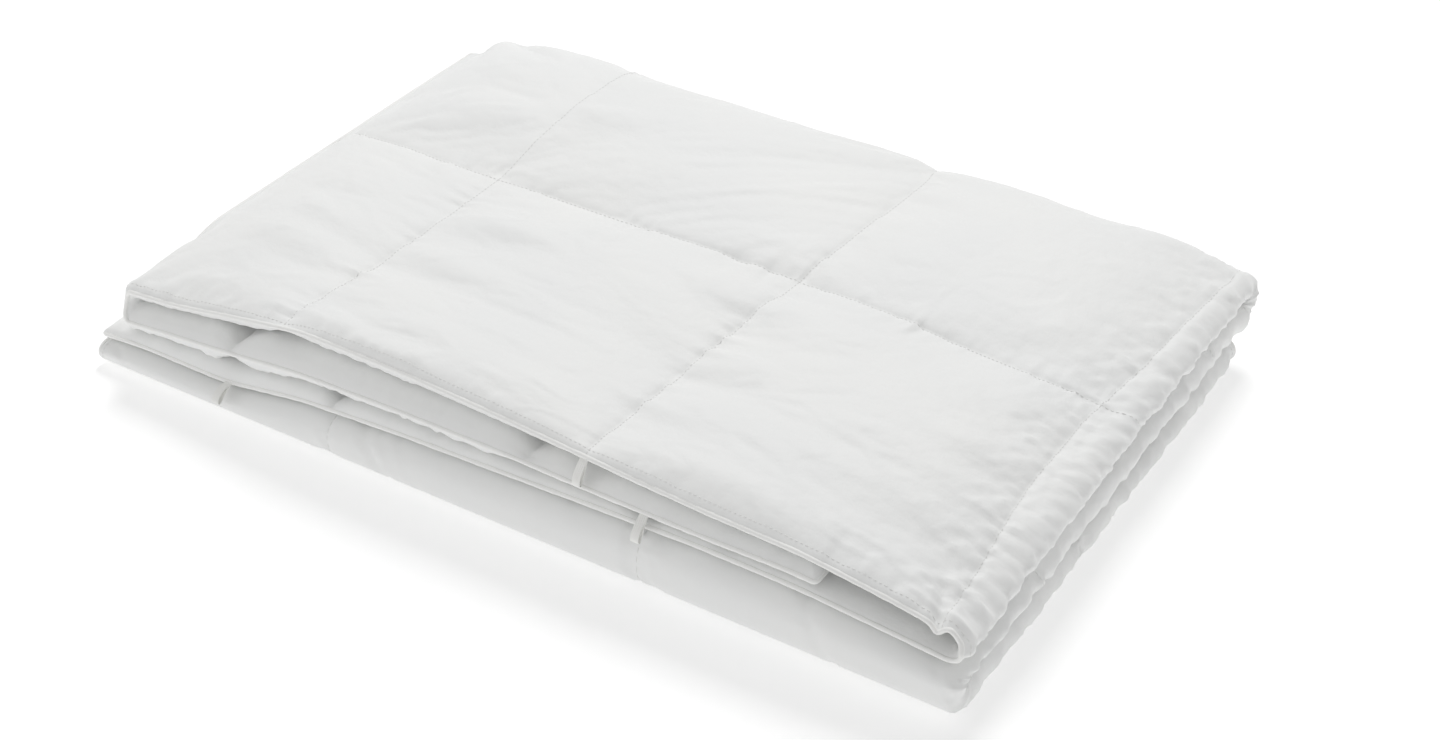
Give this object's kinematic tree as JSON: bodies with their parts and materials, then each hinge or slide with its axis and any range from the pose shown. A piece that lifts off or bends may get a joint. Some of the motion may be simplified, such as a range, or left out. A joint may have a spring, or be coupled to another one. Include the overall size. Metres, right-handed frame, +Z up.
{
  "type": "folded down duvet",
  "caption": "Light quilted down duvet folded into a flat rectangular stack, with piped hems, sewn tape loops and crosswise folds that open out.",
  "frame": {"origin": "middle of the folded duvet's footprint, on the surface that it lies on", "axes": "+X along the front edge to the right-hand long fold, +Y from the front hems to the rear fold, +Z up"},
  "size_m": [0.6968, 0.4772, 0.0922],
  "materials": {
    "ticking": "smooth white down-proof cotton with a soft satin sheen",
    "down": "loose white down clusters",
    "piping": "white cotton bias tape over a cord",
    "tape": "white cotton twill tape"
  },
  "bodies": {
    "bottom_section": {"bottom_down_1": "down", "bottom_down_2": "down", "bottom_down_3": "down", "bottom_down_4": "down", "bottom_down_5": "down", "bottom_down_6": "down", "bottom_down_7": "down", "bottom_down_8": "down", "bottom_lower_ticking": "ticking", "bottom_piping": "piping", "bottom_upper_ticking": "ticking", "front_fold_a": "ticking", "front_fold_b": "ticking", "front_fold_c": "ticking", "front_fold_piping_b": "piping", "front_fold_piping_c": "piping", "lower_loop_b_end": "tape", "lower_loop_c_end": "tape", "lower_loop_middle": "tape"},
    "middle_section": {"middle_down_1": "down", "middle_down_2": "down", "middle_down_3": "down", "middle_down_4": "down", "middle_down_5": "down", "middle_down_6": "down", "middle_down_7": "down", "middle_down_8": "down", "middle_lower_ticking": "ticking", "middle_piping_b_end": "piping", "middle_piping_c_end": "piping", "middle_upper_ticking": "ticking", "rear_fold_a": "ticking", "rear_fold_b": "ticking", "rear_fold_c": "ticking", "rear_fold_piping_b": "piping", "rear_fold_piping_c": "piping"},
    "top_section": {"top_down_front_1": "down", "top_down_front_2": "down", "top_down_front_3": "down", "top_down_front_4": "down", "top_down_front_5": "down", "top_down_front_6": "down", "top_down_front_7": "down", "top_down_front_8": "down", "top_down_rear_1": "down", "top_down_rear_2": "down", "top_down_rear_3": "down", "top_down_rear_4": "down", "top_down_rear_5": "down", "top_down_rear_6": "down", "top_down_rear_7": "down", "top_down_rear_8": "down", "top_lower_ticking": "ticking", "top_piping": "piping", "top_upper_ticking": "ticking", "loop_b_end": "tape", "loop_c_end": "tape"},
    "middle_loop": {"loop_middle": "tape"}
  },
  "joints": [
    {"name": "front_fold", "type": "hinge", "parent": "bottom_section", "child": "middle_section", "pos_m": [0, -0.22893, 0.02385], "axis": [1, 0, 0], "range_deg": [0, 180], "deforming": ["front_fold_a", "front_fold_b", "front_fold_c", "front_fold_piping_b", "front_fold_piping_c"]},
    {"name": "rear_fold", "type": "hinge", "parent": "middle_section", "child": "top_section", "pos_m": [0, 0.23264, 0.04785], "axis": [-1, 0, 0], "range_deg": [0, 180], "deforming": ["rear_fold_a", "rear_fold_b", "rear_fold_c", "rear_fold_piping_b", "rear_fold_piping_c"]},
    {"name": "middle_loop_swing", "type": "hinge", "parent": "top_section", "child": "middle_loop", "pos_m": [0, -0.22725, 0.0766], "axis": [-1, 0, 0], "range_deg": [0, 90]}
  ]
}
